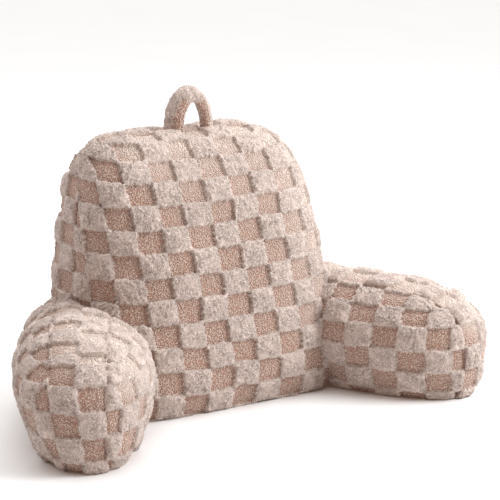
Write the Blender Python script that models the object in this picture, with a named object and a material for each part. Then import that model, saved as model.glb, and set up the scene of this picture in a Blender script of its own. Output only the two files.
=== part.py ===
"""Reading pillow: an upright stuffed back with two splayed stuffed arms and a carry loop on its top seam.

Metres, +Z up. The pillow stands on z = 0 and faces -Y. Each stuffed piece is one filled solid: two crowned
side panels joined by a boxing strip, with the seams drawn in, the foot flattened on the floor, and the
chequered pile raised and sunk on every panel.
"""

import bmesh
import bpy
import numpy as np
from mathutils import Vector

# Overall sizes of the back
BACK_HEIGHT = 0.440
BACK_HALF_WIDTH_FOOT = 0.265
BACK_HALF_WIDTH_TOP = 0.204
BACK_HALF_DEPTH_FOOT = 0.175
BACK_HALF_DEPTH_TOP = 0.100
BACK_MIDDLE_Y = 0.069
BACK_LEAN = 0.061
BACK_SQUASH = 0.046
BACK_OUTLINE_POWER = 5.5
BACK_CROWN_POWER = 2.9

# Sizes of each arm, whose root lies inside the back
ARM_HEIGHT = 0.183
ARM_RISE = 0.075
ARM_HALF_THICKNESS = 0.115
ARM_ROOT = (0.218, BACK_MIDDLE_Y - 0.003)
ARM_ROOT_DEPTH = 0.136
ARM_REACH = 0.334
ARM_SPLAY = np.radians(29.0)
ARM_SQUASH = 0.055
ARM_OUTLINE_POWER = 3.2
ARM_CROWN_POWER = 2.0
ARM_WIDEST_AT_TOP = 0.15
ARM_BELLY = 0.08
ARM_FOOT_TUCK = 0.012
ARM_FULLNESS_MIDDLE = 0.2
ARM_FULLNESS_END = 0.4

# Chequered pile: one cell, where the chequer starts, how far the pile stands up or sinks, and its edge
CELL_WIDTH = 0.0463
CELL_HEIGHT = 0.0390
BACK_CELL_PHASE = (0.62, 0.85)
ARM_CELL_PHASE = {-1.0: (0.85, 0.75), 1.0: (0.85, 0.60)}
PILE_STEP = 0.0022
CELL_EDGE = 0.0028

# Boxing strip between the two panels of each piece
BACK_SEAMS = (-0.18, 0.55)
ARM_SEAMS = (-0.37, 0.37)
SEAM_DEPTH = 0.005
FOOT_MARGIN = 0.035
SEAM_MARGIN = 0.007
LINE_SPACING = 0.0016

# Carry loop: a stuffed strap bent into an arch
LOOP_X = 0.013
LOOP_Y = BACK_MIDDLE_Y + BACK_LEAN - 0.012
LOOP_HALF_SPAN = 0.032
LOOP_FLARE = 0.27
LOOP_RISE = 0.060
LOOP_SINK = 0.045
LOOP_STRAP_DEPTH = 0.034
LOOP_STRAP_THICKNESS = 0.022
LOOP_STRAP_ROUNDNESS = 0.8
LOOP_STEPS = 16
LOOP_SIDES = 12

# Gap left where one stuffed piece is sewn against the next
JOINT_GAP = 0.0004

CREAM = (0.80, 0.70, 0.63)
TABLE_STEPS = 160
TINY = 1e-6


def clear_scene():
    for obj in list(bpy.data.objects):
        bpy.data.objects.remove(obj, do_unlink=True)


def cloth_material(name, color):
    material = bpy.data.materials.new(name)
    material.use_nodes = True
    shader = material.node_tree.nodes["Principled BSDF"]
    shader.inputs["Base Color"].default_value = (*color, 1.0)
    shader.inputs["Roughness"].default_value = 0.95
    shader.inputs["Metallic"].default_value = 0.0
    return material


def mix(low, high, share):
    return low + (high - low) * share


def round_corners(a, b, power):
    """Bends the square of a and b, each from -1 to 1, into a rounded outline with a straight middle."""
    reach = np.maximum(np.abs(a), np.abs(b))
    round_reach = (np.abs(a) ** power + np.abs(b) ** power) ** (1.0 / power)
    scale = np.divide(reach, round_reach, out=np.ones_like(reach), where=round_reach > 0)
    scale = 1.0 + (scale - 1.0) * reach**3
    return a * scale, b * scale


class Cushion:
    """One stuffed piece: place(p, q, r) maps the unit form, p along, q up and r through, to metres."""

    def __init__(self, place, fullness, outline_power, crown_power, seams, cell_phase):
        self.place = place
        self.fullness = fullness
        self.outline_power = outline_power
        self.crown_power = crown_power
        self.seams = seams
        self.cell_phase = cell_phase

    def reach_at(self, through):
        return (1.0 - np.abs(through) ** self.crown_power) ** (1.0 / self.crown_power)

    def panel_point(self, a, b, side):
        p, q = round_corners(a, b, self.outline_power)
        edge = np.maximum(np.maximum(np.abs(a), np.abs(b)), TINY)
        seam = self.seams[0] if side < 0 else self.seams[1]
        seam_reach = self.reach_at(seam / self.fullness(p / edge))
        p, q = p * seam_reach, q * seam_reach
        reach = np.abs(p) ** self.outline_power + np.abs(q) ** self.outline_power
        reach = reach ** (self.crown_power / self.outline_power)
        r = (1.0 - reach) ** (1.0 / self.crown_power)
        return self.place(p, q, side * r * self.fullness(p))

    def strip_point(self, a, b, through):
        p, q = round_corners(a, b, self.outline_power)
        reach = self.reach_at(through / self.fullness(p))
        return self.place(p * reach, q * reach, through)


def arc_table(points):
    steps = np.linalg.norm(np.diff(points, axis=0), axis=1)
    return np.concatenate([[0.0], np.cumsum(steps)])


def cell_numbers(lines, cell, phase):
    return np.floor(lines / cell - phase).astype(int)


def cell_lines(length_before, length_after, cell, phase):
    """Lines just inside each edge of every cell of a stretch of cloth, with a shoulder beside each seam."""
    low = SEAM_MARGIN - length_before
    high = length_after - SEAM_MARGIN
    lines = [low]
    for number in range(*cell_numbers(np.array([low, high + cell]), cell, phase)):
        start = (number + phase) * cell
        for line in (start + CELL_EDGE, start + cell - CELL_EDGE):
            if low + LINE_SPACING < line < high - LINE_SPACING:
                lines.append(line)
    return np.array(lines + [high])


def kept_apart(lines, low, high):
    """Holds lines between low and high, a small spacing apart, where a narrow row has less room."""
    order = np.arange(len(lines))
    low_limit = low + SEAM_MARGIN + LINE_SPACING * order
    high_limit = high - SEAM_MARGIN - LINE_SPACING * order[::-1]
    return np.minimum(np.maximum(lines, low_limit), high_limit)


def with_ends(values, first, last):
    return np.concatenate([[first], values, [last]])


def row_lines(cushion, side):
    """Values of b for the rows of one panel, by cloth length up its middle, with the cell of each row."""
    table_b = np.linspace(-1.0, 1.0, TABLE_STEPS)
    path = cushion.panel_point(np.zeros(TABLE_STEPS), table_b, side)
    length = arc_table(path)
    middle = np.interp(0.0, table_b, length)
    lines = cell_lines(middle, length[-1] - middle, CELL_HEIGHT, cushion.cell_phase[1])
    above_floor = np.interp(lines + middle, length, path[:, 2]) > -FOOT_MARGIN
    above_floor[0] = True
    lines = lines[above_floor]
    cells = cell_numbers(lines, CELL_HEIGHT, cushion.cell_phase[1])
    rows = np.interp(lines + middle, length, table_b)
    return with_ends(rows, -1.0, 1.0), with_ends(cells, cells[0], cells[-1])


def column_lines(cushion, rows, side):
    """Values of a, and the cell, for every row and column of one panel, by cloth length along each row."""
    table_a = np.linspace(-1.0, 1.0, TABLE_STEPS)
    lengths = []
    for b in rows:
        path = cushion.panel_point(table_a, np.full(TABLE_STEPS, b), side)
        length = arc_table(path)
        lengths.append(length - np.interp(0.0, table_a, length))
    before = max(-length[0] for length in lengths)
    after = max(length[-1] for length in lengths)
    lines = cell_lines(before, after, CELL_WIDTH, cushion.cell_phase[0])
    columns = []
    cells = []
    for length in lengths:
        moved = kept_apart(lines, length[0], length[-1])
        numbers = cell_numbers(moved, CELL_WIDTH, cushion.cell_phase[0])
        columns.append(with_ends(np.interp(moved, length, table_a), -1.0, 1.0))
        cells.append(with_ends(numbers, numbers[0], numbers[-1]))
    return np.array(columns), np.array(cells)


def strip_lines(cushion):
    """Places through the boxing strip, by cloth length across its top, with the cell of each."""
    table_r = np.linspace(*cushion.seams, TABLE_STEPS)
    path = cushion.strip_point(np.zeros(TABLE_STEPS), np.ones(TABLE_STEPS), table_r)
    length = arc_table(path)
    half = length[-1] / 2.0
    lines = cell_lines(half, half, CELL_WIDTH, 0.0)
    return np.interp(lines + half, length, table_r), cell_numbers(lines, CELL_WIDTH, 0.0)


def edge_order(rows, columns):
    """Row and column numbers round the edge of a panel, once round."""
    along_foot = [(0, j) for j in range(columns - 1)]
    up_end = [(i, columns - 1) for i in range(rows - 1)]
    along_top = [(rows - 1, j) for j in range(columns - 1, 0, -1)]
    down_start = [(i, 0) for i in range(rows - 1, 0, -1)]
    return along_foot + up_end + along_top + down_start


def raised(cells):
    return np.where(cells % 2 == 0, 1.0, -1.0)


def two_triangles(first, second, third, fourth):
    return [(first, second, third), (first, third, fourth)]


def cushion_surface(cushion):
    """Points, faces, pile (1 raised, -1 sunk) and seam (1 on a seam) of one stuffed piece."""
    rows, row_cells = row_lines(cushion, -1.0)
    columns, column_cells = column_lines(cushion, rows, -1.0)
    row_count, column_count = columns.shape
    row_of = np.repeat(rows[:, None], column_count, axis=1)
    cells = row_cells[:, None] + column_cells
    on_seam = np.ones(columns.shape)
    on_seam[1:-1, 1:-1] = 0.0

    points = []
    pile = []
    seam = []
    for side in (-1.0, 1.0):
        points.append(cushion.panel_point(columns, row_of, side).reshape(-1, 3))
        pile.append((raised(cells + (side > 0.0)) * (1.0 - on_seam)).ravel())
        seam.append(on_seam.ravel())

    edge = edge_order(row_count, column_count)
    edge_a = np.array([columns[i, j] for i, j in edge])
    edge_b = np.array([rows[i] for i, j in edge])
    edge_cells = np.array([cells[i, j] for i, j in edge])
    depths, depth_cells = strip_lines(cushion)
    for through, depth_cell in zip(depths, depth_cells):
        points.append(cushion.strip_point(edge_a, edge_b, np.full(len(edge), through)))
        pile.append(raised(edge_cells + depth_cell))
        seam.append(np.zeros(len(edge)))

    panel_size = row_count * column_count
    edge_ids = np.array([i * column_count + j for i, j in edge])
    rings = [edge_ids]
    for number in range(len(depths)):
        rings.append(2 * panel_size + number * len(edge) + np.arange(len(edge)))
    rings.append(edge_ids + panel_size)
    faces = []
    for start in (0, panel_size):
        for i in range(row_count - 1):
            for j in range(column_count - 1):
                corner = start + i * column_count + j
                faces += two_triangles(corner, corner + 1, corner + column_count + 1, corner + column_count)
    for first, second in zip(rings, rings[1:]):
        for number in range(len(edge)):
            after = (number + 1) % len(edge)
            faces += two_triangles(first[number], first[after], second[after], second[number])
    return np.concatenate(points), faces, np.concatenate(pile), np.concatenate(seam)


def outward_normals(points, faces):
    mesh = bpy.data.meshes.new("normals")
    mesh.from_pydata(points.tolist(), [], [tuple(int(v) for v in face) for face in faces])
    surface = bmesh.new()
    surface.from_mesh(mesh)
    bmesh.ops.recalc_face_normals(surface, faces=surface.faces[:])
    surface.normal_update()
    normals = np.array([vertex.normal[:] for vertex in surface.verts])
    ordered = [tuple(vertex.index for vertex in face.verts) for face in surface.faces]
    surface.free()
    bpy.data.meshes.remove(mesh)
    return normals, ordered


def mesh_of(name, points, faces, floor):
    """Mesh of a stuffed piece whose foot is pressed flat at the height of the floor."""
    points[:, 2] = np.maximum(points[:, 2], floor)
    mesh = bpy.data.meshes.new(name)
    mesh.from_pydata(points.tolist(), [], faces)
    return mesh


def cushion_mesh(name, cushion):
    """Mesh of one stuffed piece, with the pile raised and sunk and the seams drawn in."""
    points, faces, pile, seam = cushion_surface(cushion)
    normals, faces = outward_normals(points, faces)
    rise = np.where(points[:, 2] > PILE_STEP, pile * PILE_STEP - seam * SEAM_DEPTH, 0.0)
    return mesh_of(name, points + normals * rise[:, None], faces, 0.0)


def clearance_mesh(name, cushion):
    """Plain mesh that holds a stuffed piece, its raised pile and the joint gap round it."""
    points, faces, _, _ = cushion_surface(cushion)
    normals, faces = outward_normals(points, faces)
    return mesh_of(name, points + normals * (PILE_STEP + JOINT_GAP), faces, -PILE_STEP)


def add_object(name, mesh, material):
    obj = bpy.data.objects.new(name, mesh)
    obj.data.materials.append(material)
    bpy.context.scene.collection.objects.link(obj)
    return obj


def largest_body(mesh):
    """Keeps the largest connected body of a mesh, without the slivers that a cut leaves."""
    surface = bmesh.new()
    surface.from_mesh(mesh)
    waiting = set(surface.faces)
    bodies = []
    while waiting:
        body = set()
        front = {waiting.pop()}
        while front:
            body |= front
            front = {near for face in front for edge in face.edges for near in edge.link_faces} - body
        waiting -= body
        bodies.append(body)
    largest = max(bodies, key=len)
    slivers = [face for body in bodies if body is not largest for face in body]
    bmesh.ops.delete(surface, geom=slivers, context="FACES")
    surface.to_mesh(mesh)
    surface.free()


def seat_on_back(obj, cutter):
    """Cuts a piece where it meets the back, a small gap away from it."""
    cut = obj.modifiers.new("seat_on_back", "BOOLEAN")
    cut.operation = "DIFFERENCE"
    cut.solver = "EXACT"
    cut.object = cutter
    evaluated = obj.evaluated_get(bpy.context.evaluated_depsgraph_get())
    mesh = bpy.data.meshes.new_from_object(evaluated)
    obj.modifiers.remove(cut)
    largest_body(mesh)
    obj.data = mesh


def even(p):
    return np.ones_like(p)


def full_end(p):
    """Keeps an arm thick towards its free end, so that it ends blunt."""
    outer = np.maximum(p, 0.0)
    return 1.0 + ARM_FULLNESS_MIDDLE * outer**2 + ARM_FULLNESS_END * outer**4


def back_place(p, q, r):
    z = mix(-BACK_SQUASH, BACK_HEIGHT, (q + 1.0) / 2.0)
    up = np.clip(z / BACK_HEIGHT, 0.0, 1.0)
    x = p * mix(BACK_HALF_WIDTH_FOOT, BACK_HALF_WIDTH_TOP, up)
    y = BACK_MIDDLE_Y + BACK_LEAN * up + r * mix(BACK_HALF_DEPTH_FOOT, BACK_HALF_DEPTH_TOP, up)
    return np.stack([x, y, z], axis=-1)


def arm_place(side):
    along = np.array([side * np.sin(ARM_SPLAY), -np.cos(ARM_SPLAY)])
    across = np.array([side * np.cos(ARM_SPLAY), np.sin(ARM_SPLAY)])

    def place(p, q, r):
        z = mix(-ARM_SQUASH, ARM_HEIGHT, (q + 1.0) / 2.0) * (1.0 + ARM_RISE * p)
        up = np.clip(z / ARM_HEIGHT, 0.0, 1.0)
        reach = p * np.where(p < 0.0, ARM_ROOT_DEPTH, ARM_REACH)
        level = 2.0 * up - 1.0
        width = r * ARM_HALF_THICKNESS * (1.0 + ARM_WIDEST_AT_TOP * level - ARM_BELLY * level**2)
        width -= ARM_FOOT_TUCK * (1.0 - up) ** 2
        x = side * ARM_ROOT[0] + along[0] * reach + across[0] * width
        y = ARM_ROOT[1] + along[1] * reach + across[1] * width
        return np.stack([x, y, z], axis=-1)

    return place


def rounded(share):
    return np.sign(share) * abs(share) ** LOOP_STRAP_ROUNDNESS


def loop_mesh(name):
    """Stuffed strap swept round an arch, with its two feet run down through the top of the back."""
    arch = []
    for angle in np.linspace(np.pi, 0.0, LOOP_STEPS):
        arch.append((LOOP_HALF_SPAN * np.cos(angle), LOOP_RISE * np.sin(angle)))
    arch = [(-LOOP_HALF_SPAN, -LOOP_SINK)] + arch + [(LOOP_HALF_SPAN, -LOOP_SINK)]
    arch = np.array(arch)
    surface = bmesh.new()
    rings = []
    for number, middle in enumerate(arch):
        before = arch[max(number - 1, 0)]
        after = arch[min(number + 1, len(arch) - 1)]
        run = (after - before) / np.linalg.norm(after - before)
        outward = np.array([-run[1], run[0]])
        ring = []
        for corner in range(LOOP_SIDES):
            angle = 2.0 * np.pi * corner / LOOP_SIDES
            thick = LOOP_STRAP_THICKNESS / 2.0 * rounded(np.cos(angle))
            deep = LOOP_STRAP_DEPTH / 2.0 * rounded(np.sin(angle))
            out = thick + LOOP_FLARE * deep
            x = LOOP_X + middle[0] + outward[0] * out
            z = BACK_HEIGHT + middle[1] + outward[1] * out
            ring.append(surface.verts.new(Vector((x, LOOP_Y + deep, z))))
        rings.append(ring)
    for first, second in zip(rings, rings[1:]):
        for corner in range(LOOP_SIDES):
            after = (corner + 1) % LOOP_SIDES
            surface.faces.new((first[corner], first[after], second[after], second[corner]))
    surface.faces.new(rings[0])
    surface.faces.new(rings[-1])
    bmesh.ops.recalc_face_normals(surface, faces=surface.faces[:])
    mesh = bpy.data.meshes.new(name)
    surface.to_mesh(mesh)
    surface.free()
    return mesh


def build():
    clear_scene()
    cover = cloth_material("pile_cloth_back", CREAM)
    back = Cushion(back_place, even, BACK_OUTLINE_POWER, BACK_CROWN_POWER, BACK_SEAMS, BACK_CELL_PHASE)
    add_object("back_cushion", cushion_mesh("back_cushion", back), cover)
    cutter = add_object("back_clearance", clearance_mesh("back_clearance", back), cover)
    cutter.hide_render = True
    cutter.display_type = "WIRE"
    for name, side in (("arm_left", -1.0), ("arm_right", 1.0)):
        place = arm_place(side)
        arm = Cushion(place, full_end, ARM_OUTLINE_POWER, ARM_CROWN_POWER, ARM_SEAMS, ARM_CELL_PHASE[side])
        obj = add_object(name, cushion_mesh(name, arm), cloth_material("pile_cloth_" + name, CREAM))
        seat_on_back(obj, cutter)
    loop = add_object("carry_loop", loop_mesh("carry_loop"), cloth_material("pile_cloth_loop", CREAM))
    seat_on_back(loop, cutter)


build()
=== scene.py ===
"""Reading pillow dressed in its chequered plush.

Raised cream tufts stand beside sunk tan loops, with drawn seams and a plush carry loop. Metres, +Z up.
"""

import bmesh
import bpy
import numpy as np
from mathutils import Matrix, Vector


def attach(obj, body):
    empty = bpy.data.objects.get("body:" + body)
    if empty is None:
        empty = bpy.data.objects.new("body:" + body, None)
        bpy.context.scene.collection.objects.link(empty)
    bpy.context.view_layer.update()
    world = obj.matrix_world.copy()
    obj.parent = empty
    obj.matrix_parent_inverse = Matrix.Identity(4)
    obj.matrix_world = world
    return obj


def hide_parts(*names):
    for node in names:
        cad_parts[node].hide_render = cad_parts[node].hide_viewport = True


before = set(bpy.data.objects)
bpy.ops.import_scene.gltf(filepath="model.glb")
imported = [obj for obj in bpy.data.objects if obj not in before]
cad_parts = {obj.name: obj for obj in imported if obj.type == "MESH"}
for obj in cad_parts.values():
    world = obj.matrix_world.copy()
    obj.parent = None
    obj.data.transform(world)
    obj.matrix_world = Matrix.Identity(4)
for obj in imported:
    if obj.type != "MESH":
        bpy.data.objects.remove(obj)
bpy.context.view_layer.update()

# Sizes of the back, as in the solids
BACK_HEIGHT = 0.440
BACK_HALF_WIDTH_FOOT = 0.265
BACK_HALF_WIDTH_TOP = 0.204
BACK_HALF_DEPTH_FOOT = 0.175
BACK_HALF_DEPTH_TOP = 0.100
BACK_MEAN_HALF_DEPTH = (BACK_HALF_DEPTH_FOOT + BACK_HALF_DEPTH_TOP) / 2.0
BACK_MIDDLE_Y = 0.069
BACK_LEAN = 0.061
BACK_SQUASH = 0.046
BACK_OUTLINE_POWER = 5.5
BACK_CROWN_POWER = 2.9
BACK_SEAMS = (-0.18, 0.55)
CORNER_POWER = 3

# Sizes of each arm, as in the solids
ARM_HEIGHT = 0.183
ARM_RISE = 0.075
ARM_HALF_THICKNESS = 0.115
ARM_ROOT = (0.218, BACK_MIDDLE_Y - 0.003)
ARM_ROOT_DEPTH = 0.136
ARM_REACH = 0.334
ARM_SPLAY = np.radians(29.0)
ARM_SQUASH = 0.055
ARM_OUTLINE_POWER = 3.2
ARM_CROWN_POWER = 2.0
ARM_WIDEST_AT_TOP = 0.15
ARM_BELLY = 0.08
ARM_FOOT_TUCK = 0.012
ARM_FULLNESS_MIDDLE = 0.2
ARM_FULLNESS_END = 0.4
ARM_SEAMS = (-0.37, 0.37)

# Chequer of the cloth: its cells, how far the plush stands up and the loops sink, and the slope between them
CELL_WIDTH = 0.0463
CELL_HEIGHT = 0.0390
BACK_CELL_PHASE = (0.62, 0.85)
ARM_CELL_PHASE = {-1.0: (0.85, 0.75), 1.0: (0.85, 0.60)}
PLUSH_RISE = 0.0033
LOOP_PILE_SINK = 0.0021
PLUSH_SPREAD = 0.0012
CELL_SLOPE = 0.0014
CREAM_RANGE = (-1.1 * CELL_SLOPE, 0.6 * CELL_SLOPE)
PLUSH_DOME = 0.0016
DOME_REACH = 0.014
UNEVEN_RISE = 0.0006
# Reach from the cell edges of the painted highlight on the cream rims and the painted shade on the tan beside
# them
EDGE_HIGHLIGHT_AND_SHADE_REACH = 0.0035

# Numbers that tell the cells apart, so that each has its own height and tone
COLUMN_CODE = 7.0
ROW_CODE = 13.0
REAR_CODE = 300.0
STRIP_CODE = 700.0
HEIGHT_SCATTER = 12.9898
TONE_SCATTER = 78.233

# Wander of the cell edges: height and size of each layer, and the seeds of the panels and the strip
SMALL_WANDER = (0.0015, 0.013)
BROAD_WANDER = (0.0030, 0.070)
BROAD_SEED_STEP = 50
PANEL_SEEDS = (31, 32)
STRIP_SEEDS = (33, 34)

# Unevenness of the cloth: height, size and seed of each layer
FRAY_LAYERS = ((0.0012, 0.0055, 41), (0.0017, 0.0027, 42))
TUFT_LAYERS = ((0.0008, 0.0085, 43), (0.0010, 0.0046, 44), (0.0014, 0.0026, 45))
CURL_LAYERS = ((0.0004, 0.0040, 46), (0.0006, 0.0026, 47))
STUFFING_LAYERS = ((0.0026, 0.085, 51), (0.0013, 0.038, 52))
PUCKER_LAYERS = ((0.0014, 0.011, 53),)

# Seams, and the cloth that they hold down beside them
SEAM_DEPTH = 0.0020
SEAM_REACH = 0.0045
SEAM_TINT_REACH = 0.005
PUCKER_REACH = 0.020
HELD_REACH = 0.004
HELD_SHARE = 0.15

# Joint of each arm with the back
JOINT_TUCK = 0.004
JOINT_DRAW = 0.007
JOINT_REACH = 0.016
SHOULDER_RISE = 0.006
SHOULDER_REACH = 0.034
SHOULDER_SIDE = (-0.2, 0.5)
SHOULDER_HEIGHT = (0.3, 0.8)
LONGEST_SLIDE = 0.5
SLIDE_HALVINGS = 24

# Foot on the floor, where the relief fades out
FLOOR_MARGIN = 0.012
FLOOR_BLEND = 0.004
FLOOR_RISE_SHARE = 0.2

# Painted light: faces turned this way, toward the key light, get paler sunk cloth and fainter dark gaps in
# the cream, over this range of turn
PAINTED_LIGHT_SIDE = (0.60, -0.20, 0.77)
PAINTED_LIGHT_RANGE = (0.38, 0.85)

# Carry loop: a strap bent into an arch, with a tan band inside each leg
LOOP_X = 0.013
LOOP_Y = BACK_MIDDLE_Y + BACK_LEAN - 0.012
LOOP_HALF_SPAN = 0.032
LOOP_FLARE = 0.27
LOOP_RISE = 0.060
LOOP_SINK = 0.040
LOOP_STRAP_DEPTH = 0.034
LOOP_STRAP_THICKNESS = 0.022
LOOP_STRAP_ROUNDNESS = 0.8
LOOP_BAND_LEFT = 1.5 * np.pi + 0.85
LOOP_BAND_RIGHT = 1.15 * np.pi
LOOP_BAND_EDGE = (0.55, 0.85)
LOOP_BAND_BREAK = (0.04, 0.12)
LOOP_BAND_WANDER = ((0.15, 0.007, 61),)
LOOP_LAYERS = ((0.0010, 0.0075, 62), (0.0008, 0.0042, 63))
LOOP_CREAM_RISE = 0.0016
LOOP_CREAM_LEVEL = 0.8
LOOP_CELL_TONE = 0.3

# Fineness of the meshes
BACK_STEP = 0.00188
ARM_STEP = 0.00198
COARSE_STEPS = 6
TABLE_STEPS = 240
LOOP_ARCH_STEPS = 150
LOOP_LEG_STEPS = 24
LOOP_SIDES = 44
NOISE_SIDE = 48
WELD_DISTANCE = 1e-4
SHORTEST_EDGE = 1e-5
TINY = 1e-6

# Colours of the cloth
# Painted highlight along the rims of the cream cells
CREAM_PAINTED_HIGHLIGHT = (0.92, 0.80, 0.735)
CREAM_LIGHT = (0.90, 0.745, 0.67)
CREAM_DEEP = (0.30, 0.22, 0.175)
TAN_LIGHT = (1.0, 0.775, 0.65)
TAN_DEEP = (0.47, 0.275, 0.21)
# Painted light: paler tan for the sunk cloth on faces turned toward the key light
TAN_PAINTED_LIGHT = (1.0, 0.85, 0.755)

# Textures of the cloth: scale per metre, and the range of each that shows
STRAND_SCALE = 300.0
FIBRE_SCALE = 400.0
PATCH_SCALE = 55.0
BROAD_SCALE = 14.0
CURL_SCALE = 350.0
STRAND_MIDDLE = 0.5
STRAND_RANGE = (0.056, 0.016)
FIBRE_RANGE = (0.52, 0.34)
PATCH_RANGE = (0.20, 0.65)
BROAD_RANGE = (0.4, 0.75)
CURL_RANGE = (0.70, 0.20)

# How strongly each layer of colour covers the one under it
GAP_COVER = 0.95
FIBRE_COVER = 0.50
CELL_COVER = 0.05
# Painted highlight on the cream rims, and painted shade on the tan beside the cell walls
PAINTED_HIGHLIGHT_COVER = 0.65
TAN_PAINTED_SHADE_COVER = 0.10
# Painted light on faces turned toward the key light: how far the tan goes paler, and how much of the cream's
# dark gaps fades
PAINTED_LIGHT_COVER = 0.85
PAINTED_LIGHT_GAP_LOSS = 0.5
SEAM_COVER = 0.12
BROAD_COVER = 0.05

# Surface of the cloth
CLOTH_ROUGHNESS = 0.92
CLOTH_SPECULAR = 0.15
SHEEN_WEIGHT = 0.3
SHEEN_ROUGHNESS = 0.45
SHEEN_TINT = (1.0, 0.95, 0.93, 1.0)
FIBRE_BUMP = 0.8
CURL_BUMP = 1.8
BUMP_STRENGTH = 0.9
BUMP_DISTANCE = 0.0024

# Camera, fitted to the photograph
CAMERA_AZIMUTH = np.radians(-31.61)
CAMERA_ELEVATION = np.radians(13.52)
CAMERA_DISTANCE = 3.054
CAMERA_LENS = 130.1
CAMERA_SIDEWAYS = 0.0755
CAMERA_TARGET = (0.0, BACK_MIDDLE_Y - 0.0227, 0.2440)

# Studio: the surroundings are bright behind the pillow and over it, and dim behind the camera
BRIGHT_SIDE = (0.45, 0.75, 0.48)
BRIGHT_SIDE_COLOR = (0.98, 0.99, 1.0)
DIM_SIDE_COLOR = (0.170, 0.108, 0.078)
BRIGHT_RANGE = (-0.12, 0.50)
SURROUND_STRENGTH = 1.52
LIGHT_AIM = (0.0, 0.05, 0.2)
KEY_LIGHT_PLACE = (1.9, -1.35, 1.8)
KEY_LIGHT_SIZE = 1.3
KEY_LIGHT_POWER = 64.0
KEY_LIGHT_COLOR = (0.96, 0.985, 1.0)
TOP_LIGHT_PLACE = (0.1, 0.6, 2.8)
TOP_LIGHT_SIZE = 2.2
TOP_LIGHT_POWER = 19.0
TOP_LIGHT_COLOR = (0.97, 0.99, 1.0)

# Floor
FLOOR_HALF = 80.0
FLOOR_DROP = 0.0005
FLOOR_ROUGHNESS = 0.9
FLOOR_GRAIN_SCALE = 3.0
FLOOR_DARK = (0.90, 0.90, 0.90)
FLOOR_LIGHT = (0.93, 0.93, 0.93)


def mix(low, high, share):
    return low + (high - low) * share


def smooth(low, high, value):
    share = np.clip((value - low) / (high - low), 0.0, 1.0)
    return share * share * (3.0 - 2.0 * share)


def fade(distance, reach):
    """1 at no distance, and almost nothing past twice the reach."""
    return np.exp(-((distance / reach) ** 2))


def noise(points, size, seed):
    """Smooth random values from -1 to 1, about size metres across."""
    table = np.random.default_rng(seed).uniform(-1.0, 1.0, (NOISE_SIDE, NOISE_SIDE, NOISE_SIDE))
    place = points / size
    corner = np.floor(place).astype(int)
    share = place - corner
    share = share * share * (3.0 - 2.0 * share)
    total = np.zeros(len(points))
    for step in np.ndindex(2, 2, 2):
        weight = np.prod(np.where(step, share, 1.0 - share), axis=1)
        index = (corner + np.array(step)) % NOISE_SIDE
        total += weight * table[index[:, 0], index[:, 1], index[:, 2]]
    return total


def layered(points, layers):
    """Sum of layers of noise, each given by its height, size and seed."""
    return sum(height * noise(points, size, seed) for height, size, seed in layers)


def round_corners(a, b, power):
    """Bends the square of a and b, each from -1 to 1, into a rounded outline with a straight middle."""
    reach = np.maximum(np.abs(a), np.abs(b))
    round_reach = (np.abs(a) ** power + np.abs(b) ** power) ** (1.0 / power)
    scale = np.divide(reach, round_reach, out=np.ones_like(reach), where=round_reach > 0)
    scale = 1.0 + (scale - 1.0) * reach**CORNER_POWER
    return a * scale, b * scale


class Cushion:
    """One stuffed piece, as in the solids: place(p, q, r) maps the unit form to metres."""

    def __init__(self, place, fullness, outline_power, crown_power, seams, cell_phase):
        self.place = place
        self.fullness = fullness
        self.outline_power = outline_power
        self.crown_power = crown_power
        self.seams = seams
        self.cell_phase = cell_phase

    def reach_at(self, through):
        return (1.0 - np.abs(through) ** self.crown_power) ** (1.0 / self.crown_power)

    def panel_point(self, a, b, side):
        p, q = round_corners(a, b, self.outline_power)
        edge = np.maximum(np.maximum(np.abs(a), np.abs(b)), TINY)
        seam = self.seams[0] if side < 0 else self.seams[1]
        seam_reach = self.reach_at(seam / self.fullness(p / edge))
        p, q = p * seam_reach, q * seam_reach
        reach = np.abs(p) ** self.outline_power + np.abs(q) ** self.outline_power
        reach = reach ** (self.crown_power / self.outline_power)
        r = (1.0 - reach) ** (1.0 / self.crown_power)
        return self.place(p, q, side * r * self.fullness(p))

    def strip_point(self, a, b, through):
        p, q = round_corners(a, b, self.outline_power)
        reach = self.reach_at(through / self.fullness(p))
        return self.place(p * reach, q * reach, through)


def even(p):
    return np.ones_like(p)


def full_end(p):
    outer = np.maximum(p, 0.0)
    return 1.0 + ARM_FULLNESS_MIDDLE * outer**2 + ARM_FULLNESS_END * outer**4


def back_place(p, q, r):
    z = mix(-BACK_SQUASH, BACK_HEIGHT, (q + 1.0) / 2.0)
    up = np.clip(z / BACK_HEIGHT, 0.0, 1.0)
    x = p * mix(BACK_HALF_WIDTH_FOOT, BACK_HALF_WIDTH_TOP, up)
    y = BACK_MIDDLE_Y + BACK_LEAN * up + r * mix(BACK_HALF_DEPTH_FOOT, BACK_HALF_DEPTH_TOP, up)
    return np.stack([x, y, z], axis=-1)


def back_fill(points):
    """How far each point is out from the middle of the back: 1 on its plain surface, less inside."""
    x, y, z = points.T
    up = np.clip(z / BACK_HEIGHT, 0.0, 1.0)
    q = 2.0 * (z + BACK_SQUASH) / (BACK_HEIGHT + BACK_SQUASH) - 1.0
    p = x / mix(BACK_HALF_WIDTH_FOOT, BACK_HALF_WIDTH_TOP, up)
    r = (y - BACK_MIDDLE_Y - BACK_LEAN * up) / mix(BACK_HALF_DEPTH_FOOT, BACK_HALF_DEPTH_TOP, up)
    outline = np.abs(p) ** BACK_OUTLINE_POWER + np.abs(q) ** BACK_OUTLINE_POWER
    total = outline ** (BACK_CROWN_POWER / BACK_OUTLINE_POWER) + np.abs(r) ** BACK_CROWN_POWER
    return total ** (1.0 / BACK_CROWN_POWER)


def back_distance(points):
    """Rough distance in metres from the plain surface of the back, positive outside."""
    return (back_fill(points) - 1.0) * BACK_MEAN_HALF_DEPTH


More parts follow.
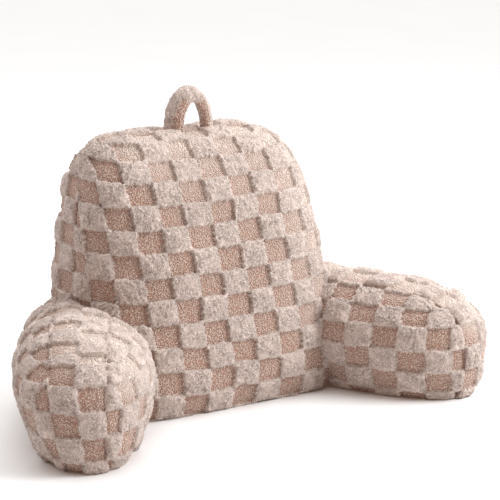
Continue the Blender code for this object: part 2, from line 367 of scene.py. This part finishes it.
def arm_axes(side):
    along = np.array([side * np.sin(ARM_SPLAY), -np.cos(ARM_SPLAY), 0.0])
    across = np.array([side * np.cos(ARM_SPLAY), np.sin(ARM_SPLAY), 0.0])
    return along, across


def arm_place(side):
    along, across = arm_axes(side)

    def place(p, q, r):
        z = mix(-ARM_SQUASH, ARM_HEIGHT, (q + 1.0) / 2.0) * (1.0 + ARM_RISE * p)
        up = np.clip(z / ARM_HEIGHT, 0.0, 1.0)
        reach = p * np.where(p < 0.0, ARM_ROOT_DEPTH, ARM_REACH)
        level = 2.0 * up - 1.0
        width = r * ARM_HALF_THICKNESS * (1.0 + ARM_WIDEST_AT_TOP * level - ARM_BELLY * level**2)
        width -= ARM_FOOT_TUCK * (1.0 - up) ** 2
        x = side * ARM_ROOT[0] + along[0] * reach + across[0] * width
        y = ARM_ROOT[1] + along[1] * reach + across[1] * width
        return np.stack([x, y, z], axis=-1)

    return place


def arc_length(points, axis=0):
    steps = np.linalg.norm(np.diff(points, axis=axis), axis=-1)
    start = np.zeros_like(np.take(steps, [0], axis=axis))
    return np.concatenate([start, np.cumsum(steps, axis=axis)], axis=axis)


def fine_rows(cushion, step):
    """Values of b up the middle of a panel, fine above the floor and coarse below."""
    table_b = np.linspace(-1.0, 1.0, TABLE_STEPS)
    path = cushion.panel_point(np.zeros(TABLE_STEPS), table_b, -1.0)
    length = arc_length(path)
    floor = np.interp(-FLOOR_MARGIN, path[:, 2], length)
    below = np.linspace(0.0, floor, COARSE_STEPS, endpoint=False)
    above = np.linspace(floor, length[-1], int(np.ceil((length[-1] - floor) / step)))
    return np.interp(np.concatenate([below, above]), length, table_b)


def fine_columns(cushion, rows, step, side):
    """Values of a for each row at even lengths along it."""
    table_a = np.linspace(-1.0, 1.0, TABLE_STEPS)
    grid_a = np.repeat(table_a[None], len(rows), axis=0)
    grid_b = np.repeat(rows[:, None], TABLE_STEPS, axis=1)
    tables = arc_length(cushion.panel_point(grid_a, grid_b, side), axis=1)
    count = int(np.ceil(tables[:, -1].max() / step))
    share = np.linspace(0.0, 1.0, count)
    return np.array([np.interp(share * table[-1], table, table_a) for table in tables])


def cell_field(u, v, width, height):
    """Signed distance to the edge of the cell at u and v, positive on raised plush, and the cell's number."""
    column = np.floor(u)
    row = np.floor(v)
    raised = np.where((column + row) % 2 == 0, 1.0, -1.0)
    to_column = (0.5 - np.abs(u - column - 0.5)) * width
    to_row = (0.5 - np.abs(v - row - 0.5)) * height
    return raised * np.minimum(to_column, to_row), column * COLUMN_CODE + row * ROW_CODE


def warped(points, values, size, seed):
    """Cell coordinates with the small wander of a hand-cut, stretchy cloth."""
    wander = layered(points, ((*SMALL_WANDER, seed), (*BROAD_WANDER, seed + BROAD_SEED_STEP)))
    return values + (wander / size).reshape(values.shape)


def panel_cloth(cushion, columns, rows, side):
    """Points of one panel with its cell coordinates and the distance of each point from the panel's seam."""
    row_of = np.repeat(rows[:, None], columns.shape[1], axis=1)
    panel = cushion.panel_point(columns, row_of, side)
    across = arc_length(panel, axis=1)
    upward = arc_length(panel, axis=0)
    middle = np.take_along_axis(across, np.argmin(np.abs(columns), axis=1)[:, None], axis=1)
    level = np.argmin(np.abs(rows))
    u = (across - middle) / CELL_WIDTH - cushion.cell_phase[0]
    v = (upward - upward[level]) / CELL_HEIGHT - cushion.cell_phase[1]
    to_side = np.minimum(across, across[:, -1:] - across)
    to_end = np.minimum(upward, upward[-1:] - upward)
    return panel, u, v, np.minimum(to_side, to_end)


def edge_order(rows, columns):
    """Row numbers and column numbers round the edge of a panel, once round."""
    along_foot = [(0, j) for j in range(columns - 1)]
    up_end = [(i, columns - 1) for i in range(rows - 1)]
    along_top = [(rows - 1, j) for j in range(columns - 1, 0, -1)]
    down_start = [(i, 0) for i in range(rows - 1, 0, -1)]
    return np.array(along_foot + up_end + along_top + down_start).T


def edge_cells(edge_i, edge_j, u, v):
    """For each edge point, its cell coordinate along the edge, the cell across it, and the cell size."""
    row_count, column_count = u.shape
    on_side = ((edge_j == 0) | (edge_j == column_count - 1)) & (edge_i < row_count - 1) & (edge_i > 0)
    corner_u = np.floor(np.where(edge_j == 0, u[-1, 0], u[-1, -1]))
    corner_v = np.floor(np.where(edge_i == 0, v[0, 0], v[-1, 0]))
    along = np.where(on_side, v[edge_i, edge_j], u[edge_i, edge_j])
    return along, np.where(on_side, corner_u, corner_v), np.where(on_side, CELL_HEIGHT, CELL_WIDTH)


def strip_rings(cushion, edge_a, edge_b, step):
    """Rings of points through the boxing strip, the cloth length through it to each, and its width."""
    depth_table = np.linspace(*cushion.seams, TABLE_STEPS)
    top = cushion.strip_point(np.zeros(TABLE_STEPS), np.ones(TABLE_STEPS), depth_table)
    depth_length = arc_length(top)
    depth_count = int(np.ceil(depth_length[-1] / step))
    lengths = np.linspace(0.0, depth_length[-1], depth_count + 1)[1:-1]
    depths = np.interp(lengths, depth_length, depth_table)
    ring_a = np.repeat(edge_a[None], len(depths), axis=0)
    ring_b = np.repeat(edge_b[None], len(depths), axis=0)
    strip = cushion.strip_point(ring_a, ring_b, np.repeat(depths[:, None], len(edge_a), axis=1))
    first_ring = cushion.panel_point(edge_a, edge_b, -1.0)
    last_ring = cushion.panel_point(edge_a, edge_b, 1.0)
    through = arc_length(np.concatenate([first_ring[None], strip, last_ring[None]]), axis=0)
    return strip, through[1:-1], through[-1:]


def cushion_lattice(cushion, step):
    """Plain points of a stuffed piece, the faces of its front, strip and rear, and its chequer."""
    rows = fine_rows(cushion, step)
    columns = fine_columns(cushion, rows, step, -1.0)
    parts = []
    for side in (-1.0, 1.0):
        panel, u, v, seam_distance = panel_cloth(cushion, columns, rows, side)
        flat = panel.reshape(-1, 3)
        warped_u = warped(flat, u, CELL_WIDTH, PANEL_SEEDS[0])
        warped_v = warped(flat, v, CELL_HEIGHT, PANEL_SEEDS[1])
        rear = side > 0.0
        field, cell = cell_field(warped_u, warped_v + rear, CELL_WIDTH, CELL_HEIGHT)
        parts.append((flat, field, cell + REAR_CODE * rear, seam_distance))
        if not rear:
            front_u, front_v = u, v

    edge_i, edge_j = edge_order(*columns.shape)
    along, shift, size = edge_cells(edge_i, edge_j, front_u, front_v)
    strip, through, width = strip_rings(cushion, columns[edge_i, edge_j], rows[edge_i], step)
    flat = strip.reshape(-1, 3)
    strip_u = warped(flat, np.repeat(along[None], len(strip), axis=0), CELL_WIDTH, STRIP_SEEDS[0])
    strip_v = warped(flat, (through - width / 2.0) / CELL_WIDTH + shift[None], CELL_WIDTH, STRIP_SEEDS[1])
    field, cell = cell_field(strip_u, strip_v, size[None], CELL_WIDTH)
    parts.append((flat, field, cell + STRIP_CODE, np.minimum(through, width - through)))

    index = np.arange(columns.size).reshape(columns.shape)
    edge_ids = index[edge_i, edge_j]
    strip_ids = 2 * columns.size + np.arange(through.size).reshape(through.shape)
    rings = np.concatenate([edge_ids[None], strip_ids, edge_ids[None] + columns.size])
    closed = np.concatenate([rings, rings[:, :1]], axis=1)
    faces = [panel_quads(index), panel_quads(closed)[:, ::-1], panel_quads(index + columns.size)[:, ::-1]]
    points, *cloth = zip(*parts)
    cloth = [np.concatenate([values.ravel() for values in kind]) for kind in cloth]
    return np.concatenate(points), faces, *cloth


def panel_quads(index):
    """Quads between neighbouring rows and columns of a grid of point numbers."""
    corners = [index[:-1, :-1], index[:-1, 1:], index[1:, 1:], index[1:, :-1]]
    return np.stack([corner.ravel() for corner in corners], axis=-1)


def make_mesh(name, points, quads):
    mesh = bpy.data.meshes.new(name)
    mesh.vertices.add(len(points))
    mesh.vertices.foreach_set("co", points.astype(np.float32).ravel())
    mesh.loops.add(quads.size)
    mesh.loops.foreach_set("vertex_index", quads.astype(np.int32).ravel())
    mesh.polygons.add(len(quads))
    mesh.polygons.foreach_set("loop_start", np.arange(0, quads.size, quads.shape[1], dtype=np.int32))
    mesh.update(calc_edges=True)
    return mesh


def vertex_normals(points, quads):
    """Normals of a surface, pointing out of it."""
    mesh = make_mesh("normals", points, quads)
    normals = np.empty(len(points) * 3, np.float32)
    mesh.vertex_normals.foreach_get("vector", normals)
    bpy.data.meshes.remove(mesh)
    normals = normals.reshape(-1, 3).astype(float)
    outward = points - points.mean(axis=0)
    if np.sum(normals * outward) < 0.0:
        normals = -normals
    return normals


def store(mesh, facts):
    """Keeps values of each point on the mesh, by name, for the material to read."""
    for name, values in facts.items():
        attribute = mesh.attributes.new(name, "FLOAT", "POINT")
        attribute.data.foreach_set("value", values.astype(np.float32))


def plush_relief(points, field, cells):
    """Rise of the cloth over its plain surface, with how cream it is."""
    frayed = field + PLUSH_SPREAD + layered(points, FRAY_LAYERS)
    share = smooth(-CELL_SLOPE, CELL_SLOPE, frayed)
    dome = PLUSH_DOME * smooth(0.0, DOME_REACH, frayed)
    uneven = UNEVEN_RISE * np.sin(cells * HEIGHT_SCATTER)
    low = -LOOP_PILE_SINK + layered(points, CURL_LAYERS)
    high = PLUSH_RISE + dome + layered(points, TUFT_LAYERS) + uneven
    return mix(low, high, share), smooth(*CREAM_RANGE, frayed)


def seam_draw(points, seam_distance):
    """How far the seams pull the cloth in, with the small puckers beside them."""
    pucker = layered(points, PUCKER_LAYERS) * np.exp(-seam_distance / PUCKER_REACH)
    return pucker - SEAM_DEPTH * fade(seam_distance, SEAM_REACH)


def joint_pull(points, side):
    """Draws an arm in where it is sewn on, and runs its outer shoulder smoothly up the back's side."""
    gap = np.maximum(back_distance(points), 0.0)
    outward = (points[:, :2] - np.array([side * ARM_ROOT[0], ARM_ROOT[1]])) @ arm_axes(side)[1][:2]
    shoulder = smooth(*SHOULDER_SIDE, outward / ARM_HALF_THICKNESS)
    shoulder = shoulder * smooth(*SHOULDER_HEIGHT, points[:, 2] / ARM_HEIGHT)
    drawn = JOINT_DRAW * fade(gap, JOINT_REACH) * (1.0 - shoulder)
    return SHOULDER_RISE * fade(gap, SHOULDER_REACH) * shoulder - drawn


def draw_to_floor(points):
    points[:, 2] = np.maximum(points[:, 2], 0.0)
    return points


def slide_out_of_back(points, along):
    """Moves the points of an arm that lie deep in the back out along it, to just under the back's cloth."""
    limit = 1.0 - JOINT_TUCK / BACK_MEAN_HALF_DEPTH
    inside = np.flatnonzero(back_fill(points) < limit)
    low = np.zeros(len(inside))
    high = np.full(len(inside), LONGEST_SLIDE)
    for _ in range(SLIDE_HALVINGS):
        middle = (low + high) / 2.0
        still = back_fill(points[inside] + middle[:, None] * along) < limit
        low = np.where(still, middle, low)
        high = np.where(still, high, middle)
    points[inside] += high[:, None] * along
    return points


def weld(mesh):
    """Joins points that lie on each other and drops the faces that this leaves without an area."""
    surface = bmesh.new()
    surface.from_mesh(mesh)
    bmesh.ops.remove_doubles(surface, verts=surface.verts[:], dist=WELD_DISTANCE)
    bmesh.ops.dissolve_degenerate(surface, edges=surface.edges[:], dist=SHORTEST_EDGE)
    bmesh.ops.recalc_face_normals(surface, faces=surface.faces[:])
    surface.to_mesh(mesh)
    surface.free()


def dress(names, node, cushion, step, material, arm_side=0.0):
    """Makes the plush that stands for one stuffed solid: one piece, or one for each panel and the strip."""
    points, faces, field, cells, seam_distance = cushion_lattice(cushion, step)
    plain = draw_to_floor(points.copy())
    normals = vertex_normals(plain, np.concatenate(faces))
    rise, cream = plush_relief(points, field, cells)
    rise = rise * (1.0 - HELD_SHARE * fade(seam_distance, HELD_REACH))
    rise = rise + seam_draw(points, seam_distance) + layered(points, STUFFING_LAYERS)
    if arm_side:
        rise = rise + joint_pull(points, arm_side)
    above = smooth(0.0, FLOOR_BLEND, plain[:, 2])
    rise_up = rise * mix(FLOOR_RISE_SHARE, 1.0, above)
    shaped = plain + normals * np.stack([rise, rise, rise_up], axis=-1)
    if arm_side:
        shaped = slide_out_of_back(shaped, arm_axes(arm_side)[0])
    shaped = draw_to_floor(shaped)
    facts = {
        "cream": cream,
        "seam": fade(seam_distance, SEAM_TINT_REACH),
        # Painted highlight on the cream rims and painted shade on the tan beside them, fading with distance
        # from the cell edge
        "edge": np.exp(-np.abs(field + PLUSH_SPREAD) / EDGE_HIGHLIGHT_AND_SHADE_REACH),
        "cell": 0.5 + 0.5 * np.sin(cells * TONE_SCATTER),
        # Painted light: how far each face is turned toward the key light, which pales its sunk cloth
        "painted_light": smooth(*PAINTED_LIGHT_RANGE, normals @ np.array(PAINTED_LIGHT_SIDE)),
    }
    groups = faces if len(names) == len(faces) else [np.concatenate(faces)]
    for name, quads in zip(names, groups):
        used, quads = np.unique(quads, return_inverse=True)
        mesh = make_mesh(name, shaped[used], quads.reshape(-1, 4))
        store(mesh, {fact: values[used] for fact, values in facts.items()})
        weld(mesh)
        finish_piece(mesh, node, material)


def finish_piece(mesh, node, material):
    mesh.shade_smooth()
    mesh.materials.append(material)
    piece = bpy.data.objects.new(mesh.name, mesh)
    bpy.context.scene.collection.objects.link(piece)
    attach(piece, "root")
    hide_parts(node)


def node_of(tree, kind, **inputs):
    made = tree.nodes.new(kind)
    for name, value in inputs.items():
        made.inputs[name.replace("_", " ")].default_value = value
    return made


def texture(tree, place, kind, **inputs):
    """First output of a texture node that is laid out by place."""
    made = node_of(tree, kind, **inputs)
    tree.links.new(place, made.inputs["Vector"])
    return made.outputs[0]


def attribute_of(tree, name):
    made = tree.nodes.new("ShaderNodeAttribute")
    made.attribute_name = name
    return made.outputs["Fac"]


def feed(tree, value, socket):
    """Links an output to a socket, or sets the socket to a plain value."""
    if hasattr(value, "links"):
        tree.links.new(value, socket)
    else:
        socket.default_value = value


def mixed(tree, share, first, second):
    made = tree.nodes.new("ShaderNodeMix")
    made.data_type = "RGBA"
    feed(tree, share, made.inputs[0])
    for color, socket in ((first, made.inputs[6]), (second, made.inputs[7])):
        feed(tree, (*color, 1.0) if isinstance(color, tuple) else color, socket)
    return made.outputs[2]


def maths(tree, operation, *values):
    made = tree.nodes.new("ShaderNodeMath")
    made.operation = operation
    for value, socket in zip(values, made.inputs):
        feed(tree, value, socket)
    return made.outputs[0]


def times(tree, first, second):
    return maths(tree, "MULTIPLY", first, second)


def covered(tree, base, cover, share, strength):
    """The base colour with the cover over it, as strongly as share times strength."""
    return mixed(tree, times(tree, share, strength), base, cover)


def ramp(tree, value, low, high):
    """Stretches a value from low..high to 0..1."""
    made = node_of(tree, "ShaderNodeMapRange", From_Min=low, From_Max=high)
    tree.links.new(value, made.inputs["Value"])
    return made.outputs["Result"]


def plush_material(name):
    """Cream plush on the raised cells and tan loops on the sunk ones, both with fine fibre."""
    material = bpy.data.materials.new(name)
    material.use_nodes = True
    tree = material.node_tree
    shader = tree.nodes["Principled BSDF"]
    shader.inputs["Roughness"].default_value = CLOTH_ROUGHNESS
    shader.inputs["Specular IOR Level"].default_value = CLOTH_SPECULAR
    shader.inputs["Sheen Weight"].default_value = SHEEN_WEIGHT
    shader.inputs["Sheen Roughness"].default_value = SHEEN_ROUGHNESS
    shader.inputs["Sheen Tint"].default_value = SHEEN_TINT
    place = tree.nodes.new("ShaderNodeTexCoord").outputs["Object"]
    noise_kind = "ShaderNodeTexNoise"
    strands = texture(tree, place, noise_kind, Scale=STRAND_SCALE, Detail=1.5, Roughness=0.6, Distortion=1.2)
    fibre = texture(tree, place, noise_kind, Scale=FIBRE_SCALE, Detail=2.0, Roughness=0.7, Distortion=1.0)
    patches = texture(tree, place, noise_kind, Scale=PATCH_SCALE, Detail=1.0)
    broad = texture(tree, place, noise_kind, Scale=BROAD_SCALE, Detail=2.0)
    curl = texture(tree, place, "ShaderNodeTexVoronoi", Scale=CURL_SCALE)
    cream, edge, seam, cell, painted_light = (
        attribute_of(tree, fact) for fact in ("cream", "edge", "seam", "cell", "painted_light")
    )

    off_strand = maths(tree, "ABSOLUTE", maths(tree, "SUBTRACT", strands, STRAND_MIDDLE))
    gaps = times(tree, ramp(tree, off_strand, *STRAND_RANGE), ramp(tree, patches, *PATCH_RANGE))
    # Painted light: the dark gaps in the cream fade on faces turned toward the key light
    gaps = times(tree, gaps, maths(tree, "SUBTRACT", 1.0, times(tree, painted_light, PAINTED_LIGHT_GAP_LOSS)))
    cream_color = covered(tree, CREAM_LIGHT, CREAM_DEEP, gaps, GAP_COVER)
    cream_color = covered(tree, cream_color, CREAM_DEEP, ramp(tree, fibre, *FIBRE_RANGE), FIBRE_COVER)
    cream_color = covered(tree, cream_color, CREAM_DEEP, cell, CELL_COVER)
    # Painted highlight: the cream is lighter along its rims
    cream_color = covered(tree, cream_color, CREAM_PAINTED_HIGHLIGHT, edge, PAINTED_HIGHLIGHT_COVER)
    curls = ramp(tree, curl, *CURL_RANGE)
    tan_color = mixed(tree, curls, TAN_DEEP, TAN_LIGHT)
    # Painted shade: the tan is darker beside the cell walls
    tan_color = covered(tree, tan_color, TAN_DEEP, edge, TAN_PAINTED_SHADE_COVER)
    # Painted light: the tan goes paler on faces turned toward the key light
    tan_color = covered(tree, tan_color, TAN_PAINTED_LIGHT, painted_light, PAINTED_LIGHT_COVER)
    color = mixed(tree, cream, tan_color, cream_color)
    color = covered(tree, color, TAN_DEEP, seam, SEAM_COVER)
    color = covered(tree, color, CREAM_DEEP, ramp(tree, broad, *BROAD_RANGE), BROAD_COVER)
    tree.links.new(color, shader.inputs["Base Color"])

    tufts = maths(tree, "ADD", maths(tree, "SUBTRACT", 1.0, gaps), times(tree, fibre, FIBRE_BUMP))
    relief = tree.nodes.new("ShaderNodeMix")
    tree.links.new(cream, relief.inputs[0])
    tree.links.new(times(tree, curls, CURL_BUMP), relief.inputs[2])
    tree.links.new(tufts, relief.inputs[3])
    bump = node_of(tree, "ShaderNodeBump", Strength=BUMP_STRENGTH, Distance=BUMP_DISTANCE)
    tree.links.new(relief.outputs[0], bump.inputs["Height"])
    tree.links.new(bump.outputs["Normal"], shader.inputs["Normal"])
    return material


def rounded(share):
    return np.sign(share) * np.abs(share) ** LOOP_STRAP_ROUNDNESS


def loop_path():
    """Middle of the strap, across and up: up the left leg, over the arch and down the right leg."""
    turn = np.linspace(np.pi, 0.0, LOOP_ARCH_STEPS)
    arch = np.stack([LOOP_HALF_SPAN * np.cos(turn), LOOP_RISE * np.sin(turn)], axis=-1)
    leg = np.linspace(-LOOP_SINK, 0.0, LOOP_LEG_STEPS, endpoint=False)
    left = np.stack([np.full(LOOP_LEG_STEPS, -LOOP_HALF_SPAN), leg], axis=-1)
    right = np.stack([np.full(LOOP_LEG_STEPS, LOOP_HALF_SPAN), leg[::-1]], axis=-1)
    return np.concatenate([left, arch, right])


def carry_loop(material):
    """Plush strap bent into an arch, with its two feet run down into the top of the back."""
    path = loop_path()
    run = np.gradient(path, axis=0)
    run /= np.linalg.norm(run, axis=1)[:, None]
    outward = np.stack([-run[:, 1], run[:, 0]], axis=-1)
    turn = np.linspace(0.0, 2.0 * np.pi, LOOP_SIDES, endpoint=False)
    thick = LOOP_STRAP_THICKNESS / 2.0 * rounded(np.cos(turn))
    deep = LOOP_STRAP_DEPTH / 2.0 * rounded(np.sin(turn))
    out = thick + LOOP_FLARE * deep
    x = LOOP_X + path[:, :1] + outward[:, :1] * out[None]
    z = BACK_HEIGHT + path[:, 1:] + outward[:, 1:] * out[None]
    y = LOOP_Y + np.repeat(deep[None], len(path), axis=0)
    points = np.stack([x, y, z], axis=-1).reshape(-1, 3)
    index = np.arange(len(points)).reshape(len(path), LOOP_SIDES)
    quads = panel_quads(np.concatenate([index, index[:, :1]], axis=1))
    normals = vertex_normals(points, quads)

    length = np.repeat(arc_length(path)[:, None], LOOP_SIDES, axis=1).ravel()
    around = np.repeat(turn[None], len(path), axis=0).ravel()
    share = length / length.max()
    facing = mix(LOOP_BAND_LEFT, LOOP_BAND_RIGHT, share)
    off = np.abs(np.angle(np.exp(1j * (around - facing)))) + layered(points, LOOP_BAND_WANDER)
    band = (1.0 - smooth(*LOOP_BAND_EDGE, off)) * smooth(*LOOP_BAND_BREAK, np.abs(share - 0.5))
    cream = 1.0 - band
    rise = layered(points, LOOP_LAYERS) + LOOP_CREAM_RISE * (cream - LOOP_CREAM_LEVEL)
    mesh = make_mesh("carry_loop_plush", points + normals * rise[:, None], quads)
    none = np.zeros(len(points))
    tone = np.full(len(points), LOOP_CELL_TONE)
    store(mesh, {"cream": cream, "seam": none, "edge": none, "cell": tone, "painted_light": none})
    surface = bmesh.new()
    surface.from_mesh(mesh)
    bmesh.ops.holes_fill(surface, edges=[edge for edge in surface.edges if edge.is_boundary])
    bmesh.ops.recalc_face_normals(surface, faces=surface.faces[:])
    surface.to_mesh(mesh)
    surface.free()
    finish_piece(mesh, "carry_loop", material)


def add_object(name, data):
    made = bpy.data.objects.new(name, data)
    bpy.context.scene.collection.objects.link(made)
    return made


def look_along(made, back):
    """Turns a camera or a light so that it looks away from the direction of back."""
    made.rotation_mode = "QUATERNION"
    made.rotation_quaternion = Vector(back).to_track_quat("Z", "Y")


def add_camera():
    flat = np.cos(CAMERA_ELEVATION)
    back = np.array([np.sin(CAMERA_AZIMUTH) * flat, -np.cos(CAMERA_AZIMUTH) * flat, np.sin(CAMERA_ELEVATION)])
    right = np.array([np.cos(CAMERA_AZIMUTH), np.sin(CAMERA_AZIMUTH), 0.0])
    camera = add_object("camera", bpy.data.cameras.new("camera"))
    camera.data.lens = CAMERA_LENS
    camera.location = np.array(CAMERA_TARGET) + right * CAMERA_SIDEWAYS + back * CAMERA_DISTANCE
    look_along(camera, back)
    bpy.context.scene.camera = camera


def add_area_light(name, place, size, power, color):
    light = add_object(name, bpy.data.lights.new(name, "AREA"))
    light.data.size = size
    light.data.energy = power
    light.data.color = color
    light.location = place
    look_along(light, Vector(place) - Vector(LIGHT_AIM))


def add_floor():
    mesh = bpy.data.meshes.new("floor")
    corners = [(x * FLOOR_HALF, y * FLOOR_HALF, 0.0) for x, y in ((-1, -1), (1, -1), (1, 1), (-1, 1))]
    mesh.from_pydata(corners, [], [(0, 1, 2, 3)])
    material = bpy.data.materials.new("floor_paper")
    material.use_nodes = True
    tree = material.node_tree
    shader = tree.nodes["Principled BSDF"]
    shader.inputs["Roughness"].default_value = FLOOR_ROUGHNESS
    place = tree.nodes.new("ShaderNodeTexCoord").outputs["Object"]
    grain = texture(tree, place, "ShaderNodeTexNoise", Scale=FLOOR_GRAIN_SCALE)
    tree.links.new(mixed(tree, grain, FLOOR_DARK, FLOOR_LIGHT), shader.inputs["Base Color"])
    mesh.materials.append(material)
    floor = add_object("floor", mesh)
    floor.location = (0.0, 0.0, -FLOOR_DROP)


def add_surroundings():
    """Light from all round, bright on one side and dim and warm on the other."""
    world = bpy.data.worlds.new("studio")
    world.use_nodes = True
    tree = world.node_tree
    background = tree.nodes["Background"]
    toward = tree.nodes.new("ShaderNodeVectorMath")
    toward.operation = "DOT_PRODUCT"
    toward.inputs[1].default_value = BRIGHT_SIDE
    tree.links.new(tree.nodes.new("ShaderNodeTexCoord").outputs["Generated"], toward.inputs[0])
    share = ramp(tree, toward.outputs["Value"], *BRIGHT_RANGE)
    tree.links.new(mixed(tree, share, DIM_SIDE_COLOR, BRIGHT_SIDE_COLOR), background.inputs["Color"])
    background.inputs["Strength"].default_value = SURROUND_STRENGTH
    bpy.context.scene.world = world


back = Cushion(back_place, even, BACK_OUTLINE_POWER, BACK_CROWN_POWER, BACK_SEAMS, BACK_CELL_PHASE)
dress(("back_front", "back_strip", "back_rear"), "back_cushion", back, BACK_STEP, plush_material("back_pile"))
for arm_name, arm_side in (("arm_left", -1.0), ("arm_right", 1.0)):
    arm = Cushion(
        arm_place(arm_side), full_end, ARM_OUTLINE_POWER, ARM_CROWN_POWER, ARM_SEAMS, ARM_CELL_PHASE[arm_side]
    )
    dress((arm_name + "_plush",), arm_name, arm, ARM_STEP, plush_material(arm_name + "_pile"), arm_side)
carry_loop(plush_material("loop_pile"))
add_camera()
add_floor()
add_surroundings()
add_area_light("key_light", KEY_LIGHT_PLACE, KEY_LIGHT_SIZE, KEY_LIGHT_POWER, KEY_LIGHT_COLOR)
add_area_light("top_light", TOP_LIGHT_PLACE, TOP_LIGHT_SIZE, TOP_LIGHT_POWER, TOP_LIGHT_COLOR)
bpy.context.scene.view_settings.view_transform = "Standard"
